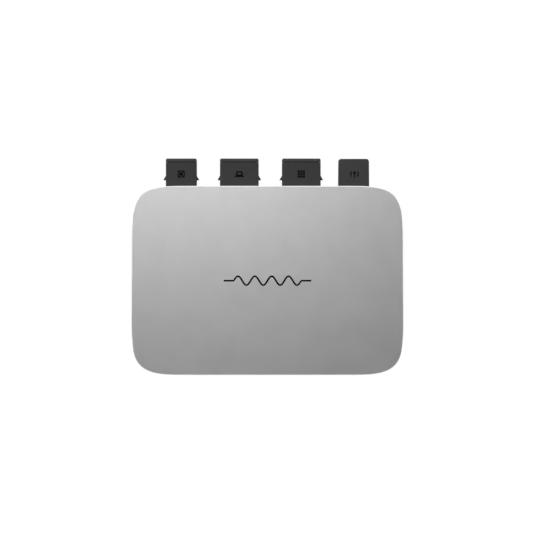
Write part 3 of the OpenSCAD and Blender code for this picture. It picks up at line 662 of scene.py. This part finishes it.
def flat_shape(name, outlines, back, depth):
    """Prints: closed (x, z) outlines on the plane y = back, raised by depth to the front."""
    points, faces = [], []
    for outline in outlines:
        count, base = len(outline), len(points)
        points += [(x, back, z) for x, z in outline]
        points += [(x, back - depth, z) for x, z in outline]
        faces.append([base + k for k in range(count)])
        faces.append([base + count + k for k in reversed(range(count))])
        for k in range(count):
            after = (k + 1) % count
            faces.append([base + k, base + count + k, base + count + after, base + after])
    mesh = bpy.data.meshes.new(name)
    mesh.from_pydata(points, [], faces)
    piece = bpy.data.objects.new(name, smoothed(mesh))
    scene.collection.objects.link(piece)
    return piece


def arc(x, z, radius, start, end, steps=16):
    """Points on a circle, from angle start to angle end in degrees."""
    turns = [math.radians(start + (end - start) * k / steps) for k in range(steps + 1)]
    return [(x + radius * math.cos(t), z + radius * math.sin(t)) for t in turns]


def round_box(x, z, width, height, radius):
    """Outline of a rectangle with round corners, centred on x, z."""
    dx, dz = width / 2 - radius, height / 2 - radius
    return (
        arc(x + dx, z + dz, radius, 0, 90, 6) + arc(x - dx, z + dz, radius, 90, 180, 6)
        + arc(x - dx, z - dz, radius, 180, 270, 6) + arc(x + dx, z - dz, radius, 270, 360, 6)
    )


def band(outer, inner):
    """Quads between two open lists of points of the same length."""
    return [
        [outer[k], outer[k + 1], inner[k + 1], inner[k]] for k in range(len(outer) - 1)
    ]


def outlet_sign(x, z):
    """Wall outlet: a square plate with a ring left bare and a round middle."""
    half, ring_out, ring_in, steps = 3.2 * MM, 2.35 * MM, 1.75 * MM, 48
    corner_reach = half * 1.28
    square = []
    for k in range(steps + 1):
        turn = math.tau * k / steps
        reach = half / max(abs(math.cos(turn)), abs(math.sin(turn)))
        reach = min(reach, corner_reach)
        square.append((x + reach * math.cos(turn), z + reach * math.sin(turn)))
    middle_disc = arc(x, z, ring_in, 0, 360, steps)[:-1]
    return band(square, arc(x, z, ring_out, 0, 360, steps)) + [middle_disc]


def battery_sign(x, z):
    """Portable battery: a case with a bare window, on a wider foot."""
    top_w, low_w, high, low = 2.6 * MM, 3.1 * MM, 2.5 * MM, -1.6 * MM
    window_w, window_high, window_low = 1.5 * MM, 1.3 * MM, -0.5 * MM
    outer = [(top_w, high), (-top_w, high), (-low_w, low), (low_w, low), (top_w, high)]
    inner = [(window_w, window_high), (-window_w, window_high), (-window_w, window_low),
             (window_w, window_low), (window_w, window_high)]
    frame_quads = band(
        [(x + a, z + b) for a, b in outer], [(x + a, z + b) for a, b in inner]
    )
    return frame_quads + [round_box(x, z - 2.1 * MM, 8.2 * MM, 1.2 * MM, 0.4 * MM)]


def panel_sign(x, z):
    """Solar panel: three rows of three cells."""
    pitch, cell = 2.3 * MM, 1.95 * MM
    return [
        round_box(x + a * pitch, z + b * pitch, cell, cell, 0.35 * MM)
        for a in (-1, 0, 1) for b in (-1, 0, 1)
    ]


def radio_sign(x, z):
    """Radio: a mast with a ball on top, and a wave on each side."""
    outlines = [round_box(x, z - 0.8 * MM, 1.1 * MM, 4.6 * MM, 0.4 * MM),
                arc(x, z + 1.6 * MM, 1.25 * MM, 0, 360, 24)[:-1]]
    for side in (0, 180):
        outlines += band(
            arc(x, z + 0.4 * MM, 3.9 * MM, side - 42, side + 42),
            arc(x, z + 0.4 * MM, 2.8 * MM, side - 42, side + 42),
        )
    return outlines


sign_height = 10.7 * MM
print_depth = 0.04 * MM
signs = {"grid": outlet_sign, "battery": battery_sign, "solar": panel_sign}
case_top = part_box("main_housing")[1].z

for kind, sign in signs.items():
    finished(kind + "_socket_shell", kind + "_socket", 0.2 * MM, "dark_nylon", dark_nylon)
    low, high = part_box(kind + "_dust_cap")
    outlines = sign((low.x + high.x) / 2, case_top + sign_height)
    sign_print = flat_shape(kind + "_sign", outlines, low.y + print_sunk, print_depth)
    placed(sign_print, "case", "black_print", ink)


# ---- Inside the plug sockets ------------------------------------------------------------------
# A nylon carrier holds the gold-plated contacts, whose tails bend back into the main board. A
# red silicone ring seals each shell where it passes through the top wall.

carrier_nylon = grained("black_carrier_nylon", (0.02, 0.021, 0.022), 0.55, size=0.0005)
gold_plate = grained(
    "gold_plated_copper", (0.86, 0.6, 0.24), 0.22, size=0.001, depth=0.08,
    colour_spread=0.06, metallic=1.0,
)
red_silicone = grained("red_silicone", (0.33, 0.05, 0.02), 0.55, size=0.0008, depth=0.2)

for kind in signs:
    finished(kind + "_contact_carrier", kind + "_carrier", 0.15 * MM, "dark_nylon",
             carrier_nylon)
    finished(kind + "_contacts", kind + "_pins", 0, "gold_contact", gold_plate)
    finished(kind + "_socket_seal", kind + "_ring", 0.1 * MM, "seal_silicone", red_silicone)


# ---- Dust caps --------------------------------------------------------------------------------
# Each socket is closed by a moulded rubber cap: a flange with the shell's outline, a neck under it
# whose sides are painted near black as the shade in the seam, a ribbed plug that grips inside,
# and a lip at the back to pull it by.

cap_rubber = grained(
    "moulded_rubber", (0.078, 0.078, 0.079), 0.55, size=0.0006, depth=0.25,
    colour_spread=0.2, roughness_spread=0.2, Specular_IOR_Level=0.08,
)
neck_shade_height = 0.6 * MM
upright = 0.5
for kind in signs:
    cap = finished(kind + "_dust_cap", kind + "_rubber_cap", 0.15 * MM, "cap_rubber",
                   cap_rubber, kind + "_cap")
    # The second material, near-black silicone, is painted shade: the neck's upright faces just
    # above the shell's rim take it, so that the seam under the flange reads dark.
    cap.data.materials.append(black_seal)
    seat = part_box(kind + "_socket_shell")[1].z
    for face in cap.data.polygons:
        if abs(face.normal.z) < upright and seat < face.center.z < seat + neck_shade_height:
            face.material_index = 1


# ---- Socket screws and inserts ----------------------------------------------------------------
# Two small screws beside each socket pull its flange up against the top wall, into brass
# inserts that are pressed into the flange.

screws("socket_screws", "socket_flange_screws", (0, 0, 1), 1.25 * MM, 2.3 * MM, 1.3 * MM,
       1.15 * MM)
brass = grained("turned_brass", (0.72, 0.5, 0.18), 0.3, size=0.001, depth=0.1, metallic=1.0)
finished("socket_inserts", "flange_inserts", 0.1 * MM, "brass", brass)


# ---- Antenna ----------------------------------------------------------------------------------
# A hollow cover of the same nylon, with softer top edges, over a small upright board whose
# track is the antenna. A thin coaxial lead runs from its foot to the radio module.

finished("antenna_cover", "antenna_dome", 0.2 * MM, "dark_nylon", dark_nylon)
low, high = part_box("antenna_cover")
dome_front = low.y + 0.12 * MM
sign_right, sign_lower, dome_print_depth = 0.6 * MM, 0.4 * MM, 0.06 * MM
mast = radio_sign((low.x + high.x) / 2 + sign_right, case_top + sign_height - sign_lower)
antenna_sign = flat_shape("antenna_sign", mast, dome_front, dome_print_depth)
grey_ink = grained(
    "dark_grey_ink", (0.007, 0.007, 0.007), 0.6, size=0.0004, depth=0.1,
    Specular_IOR_Level=0.08,
)
placed(antenna_sign, "case", "black_print", grey_ink)

finished("antenna_seal", "antenna_ring", 0.1 * MM, "seal_silicone", red_silicone)
finished("antenna_foot", "antenna_holder", 0.15 * MM, "dark_nylon", carrier_nylon)


# ---- Circuit boards ---------------------------------------------------------------------------
# Glass-epoxy boards under green solder mask, with lighter tracks that show through it. The main
# board fills the case, the control board stands off it, and the antenna board stands upright.

def mixed_colour(tree, share, first, second):
    """Colour that goes from first to second as share goes from 0 to 1."""
    node = tree.nodes.new("ShaderNodeMix")
    node.data_type = "RGBA"
    share_socket, first_socket, second_socket, result_socket = 0, 6, 7, 2
    tree.links.new(share, node.inputs[share_socket])
    for number, value in ((first_socket, first), (second_socket, second)):
        if isinstance(value, tuple):
            node.inputs[number].default_value = (*value, 1)
        else:
            tree.links.new(value, node.inputs[number])
    return node.outputs[result_socket]


def board_material(name, turn):
    """Solder mask over tracks. turn lays the track pattern flat on the board, in degrees."""
    material = grained(name, (0.012, 0.085, 0.035), 0.3, size=0.0008, depth=0.05)
    tree = material.node_tree
    shader = tree.nodes["Principled BSDF"]
    mask = shader.inputs["Base Color"].links[0].from_socket
    place = tree.nodes.new("ShaderNodeTexCoord")
    flat = tree.nodes.new("ShaderNodeMapping")
    flat.inputs["Rotation"].default_value = [math.radians(a) for a in turn]
    tracks = tree.nodes.new("ShaderNodeTexBrick")
    tracks.inputs["Scale"].default_value = 160
    tracks.inputs["Mortar Size"].default_value = 0.09
    tracks.inputs["Mortar Smooth"].default_value = 0.1
    tracks.inputs["Brick Width"].default_value = 1.7
    tracks.inputs["Row Height"].default_value = 0.42
    tree.links.new(place.outputs["Object"], flat.inputs["Vector"])
    tree.links.new(flat.outputs[0], tracks.inputs["Vector"])
    both = mixed_colour(tree, tracks.outputs["Fac"], mask, (0.03, 0.17, 0.06))
    tree.links.new(both, shader.inputs["Base Color"])
    return material


board_green = board_material("green_board", (90, 0, 0))
for node, name in (("main_board", "inverter_board"), ("control_board", "controller_board"),
                   ("antenna_board", "antenna_track_board")):
    finished(node, name, 0, "green_board", board_green)

black_sleeve = grained("black_cable_sleeve", (0.012, 0.012, 0.013), 0.42, size=0.0004)
finished("antenna_coax", "antenna_cable", 0, "coax_jacket", black_sleeve)


# ---- Board screws -----------------------------------------------------------------------------
# Six pan-head screws hold the main board down on the standoffs of the housing's floor. Their
# heads are seated flat on the board.

finished("board_screws", "board_pan_screws", 0.15 * MM, "screw_steel", screw_steel)


# ---- Power transistors, pads and potting ------------------------------------------------------
# The transistors lie under the board on blue-grey thermal pads, which pass their heat to the floor
# of the housing. A grey compound fills the gap round them.

black_epoxy = grained("black_epoxy", (0.018, 0.018, 0.019), 0.5, size=0.0003, depth=0.2)
finished("power_transistors", "transistors", 0.15 * MM, "black_epoxy", black_epoxy)
gap_pad = grained("blue_grey_thermal_pad", (0.24, 0.38, 0.48), 0.8, size=0.0005, depth=0.3)
finished("thermal_pads", "heat_pads", 0.1 * MM, "thermal_pad", gap_pad)
grey_compound = grained("grey_potting", (0.10, 0.105, 0.11), 0.6, size=0.003, depth=0.5)
finished("potting_layer", "potting", 0, "potting", grey_compound)


# ---- Transformers and boost inductors ---------------------------------------------------------
# Two transformers with sintered ferrite cores and windings wrapped in yellow polyester tape,
# and two inductors moulded in the same ferrite.

ferrite = grained("sintered_ferrite", (0.045, 0.044, 0.043), 0.62, size=0.0008, depth=0.35)
finished("transformer_cores", "ferrite_cores", 0.3 * MM, "ferrite", ferrite)
finished("boost_inductors", "moulded_inductors", 0.3 * MM, "ferrite", ferrite)


def striped(name, colour, groove_shade_colour, pitch, roughness, metallic=0.0):
    """Turns of wire or tape: even bands along Z, each with a rounded face, and painted shade in the
    groove between turns.
    """
    material = grained(name, colour, roughness, size=0.0006, depth=0.1, metallic=metallic)
    tree = material.node_tree
    shader = tree.nodes["Principled BSDF"]
    turn_colour = shader.inputs["Base Color"].links[0].from_socket
    place = tree.nodes.new("ShaderNodeTexCoord")
    turns = tree.nodes.new("ShaderNodeTexWave")
    turns.wave_type = "BANDS"
    turns.bands_direction = "Z"
    turns.wave_profile = "SIN"
    wave_radians = 20  # that the wave texture turns through in one unit at scale 1
    turns.inputs["Scale"].default_value = math.tau / wave_radians / pitch
    bump = tree.nodes.new("ShaderNodeBump")
    bump.inputs["Distance"].default_value = pitch * 0.3
    bump.inputs["Strength"].default_value = 0.8
    tree.links.new(place.outputs["Object"], turns.inputs["Vector"])
    # Painted shade: the colour darkens with the same wave that sinks the bump, deepest in the
    # groove between turns.
    bands_with_painted_shade = mixed_colour(tree, turns.outputs["Fac"], groove_shade_colour, turn_colour)
    tree.links.new(bands_with_painted_shade, shader.inputs["Base Color"])
    tree.links.new(turns.outputs["Fac"], bump.inputs["Height"])
    tree.links.new(bump.outputs[0], shader.inputs["Normal"])
    return material


# The second colour is painted shade in the grooves between turns of tape.
yellow_tape = striped(
    "yellow_tape", (0.72, 0.50, 0.05), (0.45, 0.28, 0.02), pitch=4 * MM, roughness=0.3,
)
finished("transformer_windings", "taped_windings", 0.3 * MM, "yellow_tape", yellow_tape)


# ---- Filter chokes ----------------------------------------------------------------------------
# Iron-powder rings with a yellow coating, wound with enamelled copper wire: two filter chokes,
# and a larger common-mode choke with a winding on each half.

painted_ring = grained("coated_iron_powder", (0.62, 0.47, 0.08), 0.5, size=0.0008, depth=0.3)
finished("filter_choke_cores", "powder_rings", 0.4 * MM, "iron_powder", painted_ring)
# The second colour is painted shade in the grooves between turns of wire.
enamelled = striped(
    "enamelled_copper", (0.78, 0.30, 0.12), (0.16, 0.05, 0.02), pitch=1.2 * MM, roughness=0.28,
    metallic=0.9,
)
finished("filter_choke_windings", "copper_turns", 0.3 * MM, "copper_wire", enamelled)


# ---- Capacitors and varistors -----------------------------------------------------------------
# Aluminium electrolytic cans lying in dark sleeves with a bare top, moulded film capacitors, and
# blue disc varistors that take up surges.

can_sleeve = grained("capacitor_sleeve", (0.02, 0.025, 0.05), 0.35, size=0.0006, depth=0.08)
cans = finished("bulk_capacitors", "electrolytic_cans", 0.4 * MM, "capacitor_can", can_sleeve,
                segments=3)
cans.data.materials.append(bright_cut)
bare_depth = 0.5 * MM
faces_end = 0.8
can_tops = {high.x for low, high in islands("bulk_capacitors")}
for face in cans.data.polygons:
    at_top = any(abs(top - face.center.x) < bare_depth for top in can_tops)
    if at_top and face.normal.x > faces_end:
        face.material_index = 1

film_case = grained("film_capacitor_case", (0.50, 0.44, 0.25), 0.4, size=0.0006, depth=0.1)
finished("film_capacitors", "film_boxes", 0.3 * MM, "film_box", film_case)
blue_lacquer = grained("blue_lacquer", (0.02, 0.10, 0.38), 0.35, size=0.0012, depth=0.3)
finished("surge_varistors", "varistor_discs", 0.5 * MM, "varistor", blue_lacquer, segments=3)


# ---- Fuses and their clips --------------------------------------------------------------------
# Two ceramic cartridges, each held at both ends in a spring clip of tinned steel that stands on
# the board.

ceramic = grained("white_ceramic", (0.70, 0.68, 0.63), 0.4, size=0.0005, depth=0.12)
finished("fuses", "ceramic_fuses", 0.2 * MM, "fuse_body", ceramic)
tinned_steel = grained(
    "tinned_steel", (0.62, 0.62, 0.60), 0.26, size=0.0012, depth=0.1, metallic=1.0
)
finished("fuse_clips", "spring_clips", 0.08 * MM, "tinned_steel", tinned_steel)


# ---- Grid relays ------------------------------------------------------------------------------
# Two relays cut the grid off. Each has a nylon base, a coil with core and yoke, a fixed silver
# contact, an armature that rocks on its own hinge, and a clear amber cover.

relay_nylon = grained("relay_base_nylon", (0.03, 0.03, 0.032), 0.5, size=0.0005)
finished("relay_bases", "relay_feet", 0.15 * MM, "relay_base", relay_nylon)
finished("relay_coils", "relay_windings", 0.1 * MM, "copper_wire", enamelled)
silver = grained("silver_alloy", (0.82, 0.80, 0.76), 0.24, size=0.0008, depth=0.1, metallic=1.0)
finished("relay_contacts", "fixed_contacts", 0.1 * MM, "silver_contact", silver)
for phase in ("line", "neutral"):
    finished(phase + "_relay_armature", phase + "_armature_plate", 0.1 * MM, "silver_contact",
             silver, phase + "_armature")
clear_amber = grained(
    "clear_amber_cover", (0.80, 0.75, 0.55), 0.12, size=0.002, depth=0.03,
    colour_spread=0.02, Transmission_Weight=0.75, IOR=1.58,
)
finished("relay_covers", "relay_lids", 0.2 * MM, "relay_case", clear_amber)


# ---- Radio module and pin headers -------------------------------------------------------------
# The radio sits on the control board under a tinned can. Two black pin headers carry the
# control board and join it to the main board.

finished("radio_module", "radio_can", 0.1 * MM, "tinned_steel", tinned_steel)
finished("board_header", "pin_headers", 0.1 * MM, "black_epoxy", black_epoxy)


# ---- Protective earth -------------------------------------------------------------------------
# A green wire with a ring terminal runs from the board to a screw in a column of the housing,
# which comes up through a hole in the board.

green_sleeve = grained("green_wire_sleeve", (0.05, 0.30, 0.04), 0.4, size=0.0006, depth=0.1)
finished("earth_lead", "earth_wire", 0, "green_wire", green_sleeve)
finished("earth_screw", "earth_pan_screw", 0.15 * MM, "screw_steel", screw_steel)
